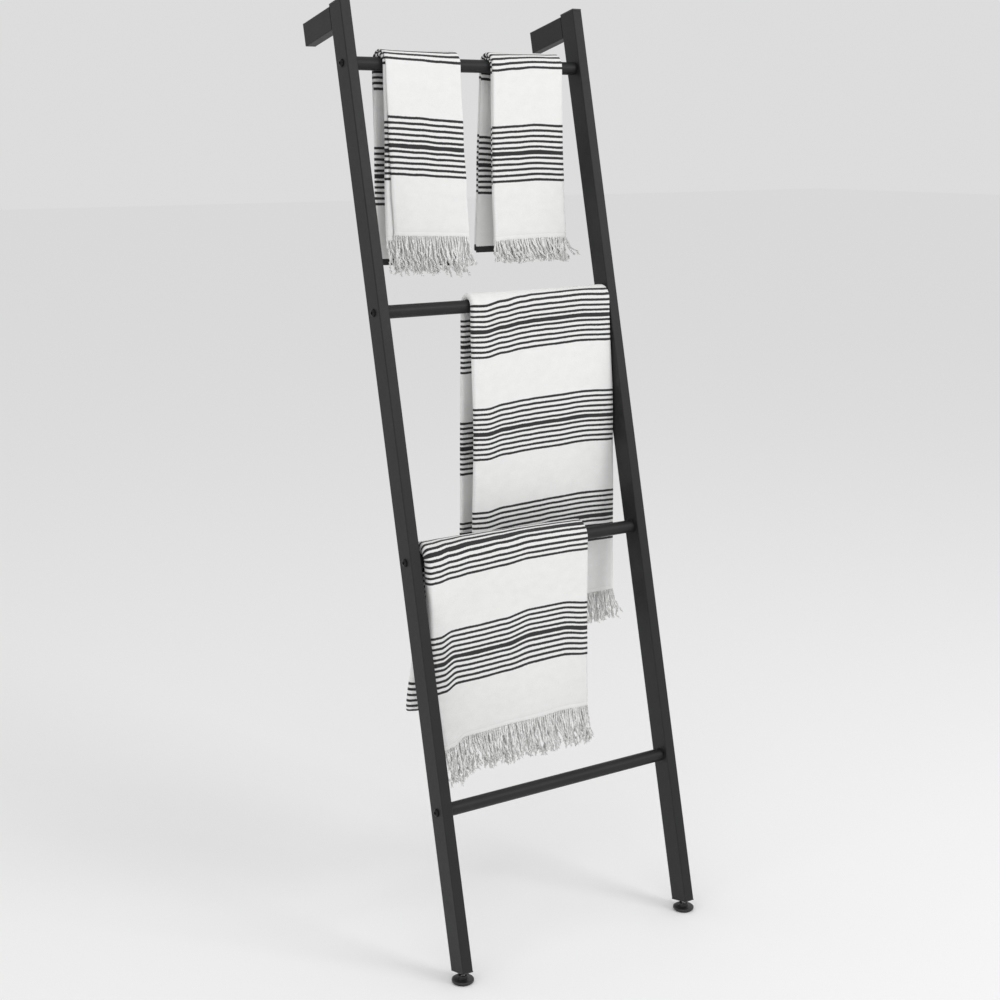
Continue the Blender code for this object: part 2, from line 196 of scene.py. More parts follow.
def moulded_plastic(name, colour, roughness):
    """Injection-moulded polyamide: near black, with a spark-eroded grain."""
    material, tree, shader = new_material(name, colour, roughness)
    uneven_roughness(tree, shader, grain(tree, 0.004), roughness - 0.05, roughness + 0.06)
    bump(tree, shader, grain(tree, 0.5 * MM, 2.0), 0.05 * MM, 0.6)
    return material


def rubber():
    """Soft rubber: dull black with a faint dusty bloom."""
    material, tree, shader = new_material("black rubber", "1c1c1c", 0.85)
    tint(tree, shader, grain(tree, 0.003, 3.0), "161616", "242424")
    bump(tree, shader, grain(tree, 0.4 * MM), 0.05 * MM)
    return material


def zinc_plate():
    """Bright zinc plate: silvery, with the slight mottling of a barrel-plated part."""
    material, tree, shader = new_material("zinc-plated steel", "c9cbce", 0.3, Metallic=1.0)
    tint(tree, shader, grain(tree, 0.002, 3.0), "b9bbbf", "d6d8da")
    uneven_roughness(tree, shader, grain(tree, 0.001, 2.0), 0.24, 0.4)
    return material


def black_oxide():
    """Black-oxide screw steel: a thin dark conversion coat, satin, and slightly mottled."""
    material, tree, shader = new_material("black oxide screw steel", "1b1b1c", 0.4, Metallic=0.7)
    uneven_roughness(tree, shader, grain(tree, 0.0015, 2.0), 0.32, 0.5)
    bump(tree, shader, grain(tree, 0.3 * MM), 0.02 * MM)
    return material


# A band is one thick stripe with thin ones on each side. BORDER is how wide the dark border at a back
# end is, and HEM_LINE how far the stitched hem line lies from the front end.
THIN_STRIPE, THICK_STRIPE = 4.4 * MM, 7.4 * MM
STRIPE_PITCH = 9.4 * MM
STRIPES_EACH_SIDE = 5
BORDER = 11 * MM
HEM_LINE = 8 * MM

# How far a stripe's edge wanders thread by thread and over a few centimetres, and how soft it is
RAGGED, STRIPE_SWAY, SOFT_EDGE = 1.5 * MM, 1.6 * MM, 0.35 * MM
LOOP_SPACING, RIB_SPACING = 1.3 * MM, 2.4 * MM

# The hem line's groove, and the painted shade that darkens the cloth's colour along it, are deepest as
# near as the first, and end at the second
HEM_NEAR, HEM_FAR = 0.3 * MM, 1.3 * MM


def towel_cotton():
    """Terry-backed woven cotton: soft white with sheen, and charcoal stripes woven in the weft.

    It reads two attributes on the cloth. cloth holds how far across and along the flat towel a
    point is, and the stretch left to the back end, in metres. stripe counts the stripes from the
    middle of the nearest band.
    """
    material, tree, shader = new_material(
        "woven terry cotton", "ececea", 0.92, Sheen_Weight=0.12, Sheen_Roughness=0.6
    )
    place = add(tree, "ShaderNodeAttribute", attribute_name="cloth")
    across, along, left = add(
        tree, "ShaderNodeSeparateXYZ", links={0: place.outputs["Vector"]}
    ).outputs
    band = add(tree, "ShaderNodeAttribute", attribute_name="stripe").outputs["Fac"]

    # Thread by thread, a stripe's edge wanders, and it sways a little over a few centimetres
    ragged = maths(tree, "SUBTRACT", grain(tree, 1.6 * MM, 1.0, place.outputs["Vector"]), 0.5)
    sway = maths(tree, "SUBTRACT", grain(tree, 0.035, 1.0, place.outputs["Vector"]), 0.5)
    wander = maths(tree, "MULTIPLY_ADD", ragged, RAGGED, maths(tree, "MULTIPLY", sway, STRIPE_SWAY))
    count = maths(tree, "ABSOLUTE", maths(tree, "MULTIPLY_ADD", wander, 1 / STRIPE_PITCH, band))
    number = maths(tree, "ROUND", count)
    off_line = maths(tree, "ABSOLUTE", maths(tree, "SUBTRACT", count, number))
    from_line = maths(tree, "MULTIPLY", off_line, STRIPE_PITCH)
    middle = maths(tree, "LESS_THAN", number, 0.5)
    half = maths(
        tree, "MULTIPLY_ADD", middle, (THICK_STRIPE - THIN_STRIPE) / 2, THIN_STRIPE / 2
    )
    inside = maths(tree, "SUBTRACT", half, from_line)
    edge = add(
        tree, "ShaderNodeMapRange", {"From Min": -SOFT_EDGE, "From Max": SOFT_EDGE}, {0: inside}
    )
    in_band = maths(tree, "LESS_THAN", number, STRIPES_EACH_SIDE + 0.5)
    stripe = maths(tree, "MULTIPLY", edge.outputs[0], in_band)
    border = maths(tree, "LESS_THAN", maths(tree, "ADD", left, wander), BORDER)
    dark = maths(tree, "MAXIMUM", stripe, border)

    # Terry loops about a millimetre apart, seen as a soft even grain
    loops = add(
        tree,
        "ShaderNodeTexVoronoi",
        {"Scale": 1 / LOOP_SPACING, "Randomness": 0.8},
        {"Vector": place.outputs["Vector"]},
    ).outputs["Distance"]
    ribs = maths(tree, "SINE", maths(tree, "MULTIPLY", across, 2 * math.pi / RIB_SPACING))
    pile = maths(tree, "MULTIPLY_ADD", ribs, 0.12, maths(tree, "SUBTRACT", 1.0, loops))
    patches = grain(tree, 0.02, 3.0, place.outputs["Vector"])
    # The hem line: a groove in the bump, and painted shade that darkens the white along it
    hem = maths(tree, "ABSOLUTE", maths(tree, "SUBTRACT", along, HEM_LINE))
    hem_line = add(
        tree, "ShaderNodeMapRange", {"From Min": HEM_NEAR, "From Max": HEM_FAR}, {0: hem}
    ).outputs[0]

    shade = maths(tree, "MULTIPLY_ADD", patches, 0.5, maths(tree, "MULTIPLY", pile, 0.5))
    # Painted shade: the white is darkened along the hem line's groove
    shade = maths(tree, "MULTIPLY", shade, maths(tree, "MULTIPLY_ADD", hem_line, 0.5, 0.5))
    white = add(
        tree, "ShaderNodeMix", {6: linear("e0e0df"), 7: linear("f4f4f3")}, {0: shade}, data_type="RGBA"
    ).outputs[2]
    black = add(
        tree, "ShaderNodeMix", {6: linear("141415"), 7: linear("29292b")}, {0: pile}, data_type="RGBA"
    ).outputs[2]
    colour = add(tree, "ShaderNodeMix", links={0: dark, 6: white, 7: black}, data_type="RGBA")
    tree.links.new(colour.outputs[2], shader.inputs["Base Color"])
    height = maths(tree, "MULTIPLY", pile, hem_line)
    bump(tree, shader, height, 0.5 * MM, 0.6)
    return material


def fringe_yarn():
    """Loose two-ply cotton yarn, with painted shade: strand by strand it goes greyer than the towel,
    standing in for the shade its fibres cast on each other.
    """
    material, tree, shader = new_material(
        "twisted cotton yarn", "d9d9d6", 0.95, Sheen_Weight=0.2, Sheen_Roughness=0.6
    )
    fibres = grain(tree, 0.9 * MM, 3.0)
    place = add(tree, "ShaderNodeTexCoord").outputs["Object"]
    streaked = add(tree, "ShaderNodeMapping", {"Scale": (1.0, 1.0, 0.1)}, {0: place}).outputs[0]
    # Painted shade: streaks about a strand wide grade the yarn from grey to white, standing in for the
    # shade between strands
    strands = grain(tree, 2.2 * MM, 1.0, streaked)
    shade = maths(tree, "MULTIPLY_ADD", strands, 2.4, maths(tree, "MULTIPLY_ADD", fibres, 0.2, -0.7))
    tint(tree, shader, shade, "b2b2b0", "fdfdfc")
    bump(tree, shader, fibres, 0.3 * MM, 0.7)
    return material


# ---------------------------------------------------------------- frame of the ladder

def finish_frame():
    """CAD nodes keep their shapes and get their real finishes. Tubes and rungs are powder-coated."""
    coat = powder_coat()
    cap = moulded_plastic("moulded polyamide caps", "262627", 0.45)
    foot = moulded_plastic("moulded polyamide feet", "1f1f20", 0.4)
    screw, zinc, pad = black_oxide(), zinc_plate(), rubber()
    by_ending = (
        ("_cap", cap),
        ("_insert", cap),
        ("_plug", zinc),
        ("_screw", screw),
        ("_stud", zinc),
        ("_ball", zinc),
        ("_base", foot),
        ("_pad", pad),
    )
    for name, node in NODES.items():
        material = next((m for ending, m in by_ending if name.endswith(ending)), coat)
        for material_slot in node.material_slots:
            material_slot.material = material


# ---------------------------------------------------------------- towels

# Shares of the cloth's full thickness, by distance from each end and from the hem line
END_TAPER = np.array([(0.0, 0.35), (1.2 * MM, 0.8), (3.0 * MM, 1.0)])
HEM_GROOVE = np.array([(-2.0 * MM, 1.0), (0.0, 0.72), (2.0 * MM, 1.0)])
EDGE_SWELL = 0.35

# A band nearer the back end than this gets no row of the mesh, and a border this far off isn't seen
LAST_BAND_GAP = 14 * MM
NO_BORDER = 1.0

# Points round the half-turn from one layer to the next
TURN_STEPS = 7

# How far a towel stands off its path on its left, against how far on its right
LEFT_STAND_OFF = 0.45

# A second, lower ripple runs over the first: its height and count against the first one's, and how
# far its phase moves, in radians, from the rung to either end
SECOND_HEIGHT, SECOND_COUNT, SECOND_SHIFT = 0.5, 1.8, 3


def smooth(x):
    """An S-shaped step from 0 to 1, level at both ends."""
    x = np.clip(x, 0.0, 1.0)
    return x * x * (3 - 2 * x)


def soft_steps(x, places, values):
    """Joins values by S-shaped steps, so that cloth goes from one to the next with no kink."""
    places, values = np.asarray(places, float), np.asarray(values, float)
    x = np.clip(x, places[0], places[-1])
    left = np.clip(np.searchsorted(places, x, side="right") - 1, 0, len(places) - 2)
    reached = (x - places[left]) / (places[left + 1] - places[left])
    return values[left] + (values[left + 1] - values[left]) * smooth(reached)


def stations(keys, step):
    """Distances from the first key to the last that hit each key and are about a step apart."""
    rows = [keys[0]]
    for start, end in zip(keys, keys[1:]):
        count = max(1, round((end - start) / step))
        rows += list(np.linspace(start, end, count + 1)[1:])
    return np.array(rows)


class Drape:
    """The path of a folded towel's outer layer over a rung, by distance from its front end."""

    def __init__(self, axis, radius, front_drop, length):
        self.y, self.z = axis
        self.radius = radius
        self.over = math.pi * radius
        self.length = length
        self.front_drop = front_drop
        self.back_drop = length - front_drop - self.over

    def at(self, s):
        """Y, Z and the outward normal's Y, Z at each distance."""
        turn = np.clip((s - self.front_drop) / self.radius, 0.0, math.pi)
        down_front = np.minimum(s - self.front_drop, 0.0)
        down_back = np.maximum(s - self.front_drop - self.over, 0.0)
        y = self.y - self.radius * np.cos(turn)
        z = self.z + self.radius * np.sin(turn) + down_front - down_back
        return y, z, -np.cos(turn), np.sin(turn)

    def knots(self, *shares_of_front):
        """Distances at shares of the front drop, then where it leaves the rung behind, then its end."""
        front = [share * self.front_drop for share in shares_of_front]
        return [*front, self.front_drop + self.over, self.length]

    def seven_places(self):
        """The knots at 0, 30, 60 and 100 % of the front drop, with one more 60 % down the back."""
        *places, leaves, end = self.knots(0, 0.3, 0.6, 1)
        return [*places, leaves, leaves + 0.6 * self.back_drop, end]


def along_rows(rows, knots, values):
    """Values at the knots, softly joined along the rows, for each column of values."""
    columns = [soft_steps(rows, knots, column) for column in np.asarray(values, float).T]
    return np.stack(columns, axis=1)


def fold_section(layers, steps):
    """The folded cloth's cross-section, point by point: its layer, place across it and half-turn.

    A half-turn joins each layer to the next. Its last two numbers are the share of the way to the
    next layer and how far it swells past the edge, as a share of half the distance between them.
    """
    section = []
    for layer in range(layers):
        section += [(layer, t, 0.0, 0.0) for t in np.linspace(0, 1, steps)]
        if layer + 1 < layers:
            for angle in np.linspace(0, math.pi, TURN_STEPS + 2)[1:-1]:
                section.append((layer, 1.0, (1 - math.cos(angle)) / 2, math.sin(angle)))
    return np.array(section).T


def layer_offsets(spec, packet, layers, shares, plump):
    """How far each layer lies from the drape's path at each share of the width.

    The innermost layer lies on the rung. The others rest on it, closer where there is no fold.
    plump scales the space between them row by row, and arch is how far the outer one stands off.
    """
    inner = spec["sheet"] - packet - spec["arch"]
    spacing = (packet - spec["sheet"]) / (layers - 1) * soft_steps(shares, *spec["puff"]) * plump
    return [inner + spacing * (layers - 1 - layer) for layer in range(layers)]


def towel_points(spec, drape, packet, rows):
    """The cloth's middle surface, as rows of points, and how far across the cloth each column is."""
    layers = spec["layers"]
    layer, t, to_next, swell = fold_section(layers, spec["steps"])
    layer = layer.astype(int)
    knots = drape.seven_places()
    edges = along_rows(rows, knots, np.array(spec["edges"]).T)
    low, high = edges.min(axis=1)[:, None], edges.max(axis=1)[:, None]

    # Each layer stops short of its fold by the fold's own half-turn
    start, end = edges[:, layer], edges[:, layer + 1]
    way = np.sign(end - start)
    fold = (packet - spec["sheet"]) / (layers - 1) / 2
    pull_start = np.where(layer > 0, fold, 0.0)
    pull_end = np.where(layer < layers - 1, fold, 0.0)
    x = start + way * pull_start
    x = x + (end - way * pull_end - x) * t + way * swell * fold
    share = (x - low) / (high - low)

    plump = soft_steps(rows, knots, spec["plump"])[:, None]
    offsets = np.array(layer_offsets(spec, packet, layers, share, plump))
    own = np.take_along_axis(offsets, np.broadcast_to(layer, x.shape)[None], axis=0)[0]
    following = np.take_along_axis(
        offsets, np.broadcast_to(np.minimum(layer + 1, layers - 1), x.shape)[None], axis=0
    )[0]
    offset = own + (following - own) * to_next

    # The folded cloth never lies square, so it hangs lower in some places than in others. Behind the
    # rung the way along the cloth runs down, so what lowers it there has the other sign.
    shares, at_hem, halfway, on_rung, behind = spec["sag"]
    level_rows = drape.knots(0, 0.5, 1)
    levels = np.array([at_hem, halfway, on_rung, on_rung, [-drop for drop in behind]])
    at_share = np.stack([soft_steps(share, shares, level) for level in levels])
    weights = np.stack([np.interp(rows, level_rows, unit) for unit in np.eye(len(levels))])
    sag = np.einsum("kr,krc->rc", weights, at_share)
    run = layer + t
    slip = np.interp(run, range(layers + 1), spec["slip"])
    side = soft_steps(rows, drape.knots(1), [1.0, -1.0, -1.0])[:, None]
    y, z, ny, nz = drape.at(rows[:, None] - sag - slip * side)

    # It hangs free below the rung, so it stands off and ripples more the lower it is
    front = smooth(1 - rows / drape.front_drop)[:, None]
    back = smooth((rows - drape.front_drop - drape.over) / drape.back_drop)[:, None]
    waves, phase, depth = spec["ripple"]
    wave = np.sin(2 * math.pi * waves * share + phase)
    second = 2 * math.pi * waves * SECOND_COUNT * share + 2 * phase + SECOND_SHIFT * (front - back)
    wave = wave + SECOND_HEIGHT * np.sin(second)
    across_share = LEFT_STAND_OFF + (1 - LEFT_STAND_OFF) * share
    stand_off = soft_steps(rows, knots, spec["stand_off"])[:, None] * across_share
    n = offset + wave * depth * (front + back) + stand_off
    points = np.stack([x, y + n * ny, z + n * nz], axis=-1)
    return points, run / layers * spec["flat"][0]


def sheet_normals(points):
    """Unit normals of the sheet at its points."""
    normal = np.cross(np.gradient(points, axis=1), np.gradient(points, axis=0))
    return normal / np.linalg.norm(normal, axis=-1, keepdims=True)


def rings_of(points, thickness):
    """Closed rings round the sheet, one for each row: its face, a rounded edge, its back, and back."""
    half = sheet_normals(points) * thickness[:, None, None] / 2
    rims = []
    for edge, inner in ((-1, -2), (0, 1)):
        outward = points[:, edge] - points[:, inner]
        outward /= np.linalg.norm(outward, axis=-1, keepdims=True)
        rims.append(points[:, edge] + outward * thickness[:, None] * EDGE_SWELL)
    face, reverse = points + half, points - half
    return np.concatenate([face, rims[0][:, None], reverse[:, ::-1], rims[1][:, None]], axis=1)


def ring_faces(row_count, columns):
    """Quads between neighbouring rings, then the two ends zipped shut."""
    count = 2 * columns + 2
    faces = []
    for row in range(row_count - 1):
        near, far = row * count, (row + 1) * count
        for j in range(count):
            k = (j + 1) % count
            faces.append((near + j, near + k, far + k, far + j))
    for base in (0, (row_count - 1) * count):
        for j in range(columns - 1):
            across = base + 2 * columns - j
            faces.append((base + j, base + j + 1, across - 1, across))
        faces.append((base + columns - 1, base + columns, base + columns + 1))
        faces.append((base + 2 * columns + 1, base, base + 2 * columns))
    return faces


def build_towel(name, spec, cotton):
    """One towel: a single sheet, folded and laid over its rung, with the yarns left at its front end."""
    low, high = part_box(name)
    rung_low, rung_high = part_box(spec["rung"])
    rung_radius = (rung_high[2] - rung_low[2]) / 2
    axis = ((rung_low[1] + rung_high[1]) / 2, (rung_low[2] + rung_high[2]) / 2)
    packet = (high[1] - low[1]) / 2 - rung_radius - ON_RUNG
    radius = rung_radius + ON_RUNG + packet - spec["sheet"] / 2 + spec["arch"]
    front_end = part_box(name + "_fringe")[1][2] - spec["longer"]
    length = spec["flat"][1]
    drape = Drape(axis, radius, axis[1] - front_end, length)

    ends, end_shares = END_TAPER.T
    hem, hem_shares = HEM_LINE + HEM_GROOVE[:, 0], HEM_GROOVE[:, 1]
    bands = [band for band in spec["bands"] if band < length - LAST_BAND_GAP]
    rows = stations(sorted({*ends, *hem, *bands, length - BORDER, *(length - ends)}), spec["step"])
    thickness = spec["sheet"] * np.interp(
        rows,
        [*ends, *hem, *(length - ends[::-1])],
        [*end_shares, *hem_shares, *end_shares[::-1]],
    )
    points, across = towel_points(spec, drape, packet, rows)
    rings = rings_of(points, thickness)

    mesh = bpy.data.meshes.new(name + "_cloth")
    columns = points.shape[1]
    mesh.from_pydata(rings.reshape(-1, 3).tolist(), [], ring_faces(len(rows), columns))
    bm = bmesh.new()
    bm.from_mesh(mesh)
    bmesh.ops.recalc_face_normals(bm, faces=bm.faces)
    bm.to_mesh(mesh)
    bm.free()

    order = [*range(columns), columns - 1, *range(columns - 1, -1, -1), 0]
    shape = (len(rows), len(order))
    to_end = length - rows + (0 if spec["border"] else NO_BORDER)
    cloth = [np.broadcast_to(across[order], shape)]
    cloth += [np.broadcast_to(value[:, None], shape) for value in (rows, to_end)]
    nearest = np.abs(rows[:, None] - np.array(spec["bands"])).min(axis=1) / spec["pitch"]
    stripe = np.broadcast_to(nearest[:, None], shape)
    place = mesh.attributes.new("cloth", "FLOAT_VECTOR", "POINT")
    place.data.foreach_set("vector", np.stack(cloth, axis=-1).ravel().astype(np.float32))
    distance = mesh.attributes.new("stripe", "FLOAT", "POINT")
    distance.data.foreach_set("value", stripe.ravel().astype(np.float32))
    mesh.materials.append(cotton)
    mesh.shade_smooth()
    towel = bpy.data.objects.new(name + "_cloth", mesh)
    bpy.context.scene.collection.objects.link(towel)

    fringe = build_fringe(name, points[1], spec["fringe"])
    for piece, node, slot in ((towel, name, "towel_cotton"), (fringe, name + "_fringe", "towel_fringe")):
        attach(piece, name)
        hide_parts(node)


# ---------------------------------------------------------------- fringe

STRAND_POINTS, PLY_SIDES = 16, 6

# The first two set neighbouring strands' random numbers apart. The third is about how many clumps
# of strands there are in a metre, and the fourth about how many waves one strand has.
STRANDS_APART, WAVES_APART, CLUMPS, WAVES_DOWN = 997.0, 37.0, 62.0, 2.6

# Shares of Sway: how far a whole clump leans, how far one strand leans, and how wide its waves are
CLUMP_LEAN, OWN_LEAN, WAVE_WIDTH = 3.0, 0.8, 1.6

# Powers of the way down: a lean, a wave, the fray of a loose end and its taper grow by these
LEAN_POWER, WAVE_POWER, FRAY_POWER, TAPER_POWER = 1.4, 0.8, 6.0, 3.0

# How often the plies turn, how far apart they lie at the root, and how much wider at the loose end
PLY_TURNS, PLY_APART, PLY_FRAY = 5.5, 0.85, 1.1

# Movement forwards and back against movement along the hem, how much shorter the shortest strand
# is, and a ply's thickness at its root and what it loses by its loose end
IN_DEPTH, SHORTER, ROOT_THICKNESS, TAPER = 0.28, 0.22, 1.12, 0.45


def fringe_tree(yarn):
    """Strands that hang from a hem line: each is two plies twisted together, and no two lie alike."""
    tree = bpy.data.node_groups.new("hanging fringe", "GeometryNodeTree")
    sockets = (
        ("Geometry", "NodeSocketGeometry", None),
        ("Spacing", "NodeSocketFloat", 4.2 * MM),
        ("Length", "NodeSocketFloat", 58 * MM),
        ("Ply Radius", "NodeSocketFloat", 1.2 * MM),
        ("Sway", "NodeSocketFloat", 17 * MM),
        ("Lean", "NodeSocketFloat", 0.0),
        ("Seed", "NodeSocketFloat", 1.0),
    )
    for name, kind, default in sockets:
        socket = tree.interface.new_socket(name=name, in_out="INPUT", socket_type=kind)
        if default is not None:
            socket.default_value = default
    tree.interface.new_socket(name="Geometry", in_out="OUTPUT", socket_type="NodeSocketGeometry")
    given = tree.nodes.new("NodeGroupInput").outputs
    result = tree.nodes.new("NodeGroupOutput")

    hem = add(tree, "GeometryNodeMeshToCurve", links={0: given["Geometry"]})
    roots = add(tree, "GeometryNodeCurveToPoints", mode="LENGTH", links={0: hem.outputs[0]})
    tree.links.new(given["Spacing"], roots.inputs["Length"])
    line = add(tree, "GeometryNodeCurvePrimitiveLine", {"End": (0.0, 0.0, -1.0)})
    strand = add(tree, "GeometryNodeResampleCurve", {"Count": STRAND_POINTS}, {0: line.outputs[0]})
    size = add(tree, "ShaderNodeCombineXYZ", {0: 1.0, 1: 1.0}, {2: given["Length"]})
    placed = add(
        tree,
        "GeometryNodeInstanceOnPoints",
        links={"Points": roots.outputs[0], "Instance": strand.outputs[0], "Scale": size.outputs[0]},
    )
    strands = add(tree, "GeometryNodeRealizeInstances", links={0: placed.outputs[0]})
    plies = add(
        tree, "GeometryNodeDuplicateElements", {"Amount": 2}, {0: strands.outputs[0]}, domain="SPLINE"
    )

    # A strand's points share one X and Y until they are moved, so those two number the strand
    down = add(tree, "GeometryNodeSplineParameter").outputs["Factor"]
    place = add(tree, "GeometryNodeInputPosition").outputs[0]
    x, y, z = add(tree, "ShaderNodeSeparateXYZ", links={0: place}).outputs
    strand_number = add(
        tree,
        "ShaderNodeCombineXYZ",
        links={
            0: maths(tree, "MULTIPLY", x, STRANDS_APART),
            1: maths(tree, "MULTIPLY", y, STRANDS_APART),
            2: given["Seed"],
        },
    ).outputs[0]
    chance = add(tree, "ShaderNodeTexWhiteNoise", links={0: strand_number}).outputs
    chances = add(tree, "ShaderNodeSeparateXYZ", links={0: chance["Color"]}).outputs
    clump_place = add(tree, "ShaderNodeCombineXYZ", links={0: x, 1: y, 2: given["Seed"]}).outputs[0]
    clump = add(
        tree, "ShaderNodeTexNoise", {"Scale": CLUMPS, "Detail": 1.0}, {"Vector": clump_place}
    ).outputs["Color"]
    clumps = add(tree, "ShaderNodeSeparateXYZ", links={0: clump}).outputs
    wave_place = add(
        tree,
        "ShaderNodeCombineXYZ",
        links={
            0: maths(tree, "MULTIPLY", chance["Value"], WAVES_APART),
            1: maths(tree, "MULTIPLY", down, WAVES_DOWN),
            2: given["Seed"],
        },
    ).outputs[0]
    wave = add(
        tree, "ShaderNodeTexNoise", {"Scale": 1.0, "Detail": 1.0}, {"Vector": wave_place}
    ).outputs["Color"]
    waves = add(tree, "ShaderNodeSeparateXYZ", links={0: wave}).outputs

    bend = maths(tree, "POWER", down, LEAN_POWER)
    ply = maths(tree, "MULTIPLY", plies.outputs["Duplicate Index"], math.pi)
    twist = maths(
        tree, "MULTIPLY_ADD", down, 2 * math.pi * PLY_TURNS,
        maths(tree, "MULTIPLY_ADD", chances[2], 2 * math.pi, ply),
    )
    loose = maths(tree, "POWER", down, FRAY_POWER)
    fray = maths(tree, "MULTIPLY_ADD", loose, PLY_FRAY, PLY_APART)
    ply_reach = maths(tree, "MULTIPLY", given["Ply Radius"], fray)

    def sideways(axis, turn, extra):
        """How far a point moves along X or Y by its leans and waves, and by the twist of its ply."""
        together = maths(tree, "SUBTRACT", clumps[axis], 0.5)
        alone = maths(tree, "SUBTRACT", chances[axis], 0.5)
        alone = maths(tree, "MULTIPLY", alone, OWN_LEAN)
        leaning = maths(tree, "MULTIPLY_ADD", together, CLUMP_LEAN, alone)
        waving = maths(tree, "MULTIPLY", maths(tree, "SUBTRACT", waves[axis], 0.5), WAVE_WIDTH)
        waving = maths(tree, "MULTIPLY", waving, maths(tree, "POWER", down, WAVE_POWER))
        moved = maths(tree, "MULTIPLY_ADD", leaning, bend, waving)
        moved = maths(tree, "MULTIPLY", moved, given["Sway"])
        if extra is not None:
            moved = maths(tree, "ADD", moved, maths(tree, "MULTIPLY", extra, bend))
        round_ply = maths(tree, "MULTIPLY", maths(tree, turn, twist), ply_reach)
        return moved, round_ply

    move_x, ply_x = sideways(0, "COSINE", given["Lean"])
    move_y, ply_y = sideways(1, "SINE", None)
    move_y = maths(tree, "MULTIPLY", move_y, IN_DEPTH)
    shorten = maths(tree, "MULTIPLY", maths(tree, "MULTIPLY", chance["Value"], SHORTER), down)
    lift = maths(tree, "MULTIPLY", shorten, given["Length"])
    offset = add(
        tree,
        "ShaderNodeCombineXYZ",
        links={0: maths(tree, "ADD", move_x, ply_x), 1: maths(tree, "ADD", move_y, ply_y), 2: lift},
    ).outputs[0]
    shaped = add(tree, "GeometryNodeSetPosition", links={0: plies.outputs[0], "Offset": offset})
    profile = add(tree, "GeometryNodeCurvePrimitiveCircle", {"Resolution": PLY_SIDES})
    tree.links.new(given["Ply Radius"], profile.inputs["Radius"])
    thinner = maths(tree, "MULTIPLY", maths(tree, "POWER", down, TAPER_POWER), TAPER)
    taper = maths(tree, "SUBTRACT", ROOT_THICKNESS, thinner)
    tubes = add(
        tree,
        "GeometryNodeCurveToMesh",
        {"Fill Caps": True},
        {0: shaped.outputs[0], 1: profile.outputs[0], "Scale": taper},
    )
    soft = add(tree, "GeometryNodeSetShadeSmooth", links={0: tubes.outputs[0]})
    real = add(tree, "GeometryNodeRealizeInstances", links={0: soft.outputs[0]})
    painted = add(tree, "GeometryNodeSetMaterial", {"Material": yarn}, {0: real.outputs[0]})
    tree.links.new(painted.outputs[0], result.inputs[0])
    return tree


def set_input(modifier, name, value):
    """Sets a Geometry Nodes modifier's input, found by name, through its socket's identifier."""
    for item in modifier.node_group.interface.items_tree:
        if item.item_type == "SOCKET" and item.in_out == "INPUT" and item.name == name:
            modifier[item.identifier] = value


def build_fringe(name, hem_points, settings):
    """Hangs strands from a line through the cloth's front end, and makes them a plain mesh."""
    mesh = bpy.data.meshes.new(name + "_hem_line")
    edges = [(i, i + 1) for i in range(len(hem_points) - 1)]
    mesh.from_pydata(hem_points.tolist(), edges, [])
    guide = bpy.data.objects.new(name + "_hem_line", mesh)
    bpy.context.scene.collection.objects.link(guide)
    modifier = guide.modifiers.new("fringe", "NODES")
    modifier.node_group = FRINGE
    for socket, value in settings.items():
        set_input(modifier, socket, value)
    depsgraph = bpy.context.evaluated_depsgraph_get()
    made = bpy.data.meshes.new_from_object(guide.evaluated_get(depsgraph))
    bpy.data.objects.remove(guide)
    fringe = bpy.data.objects.new(name + "_yarns", made)
    bpy.context.scene.collection.objects.link(fringe)
    return fringe


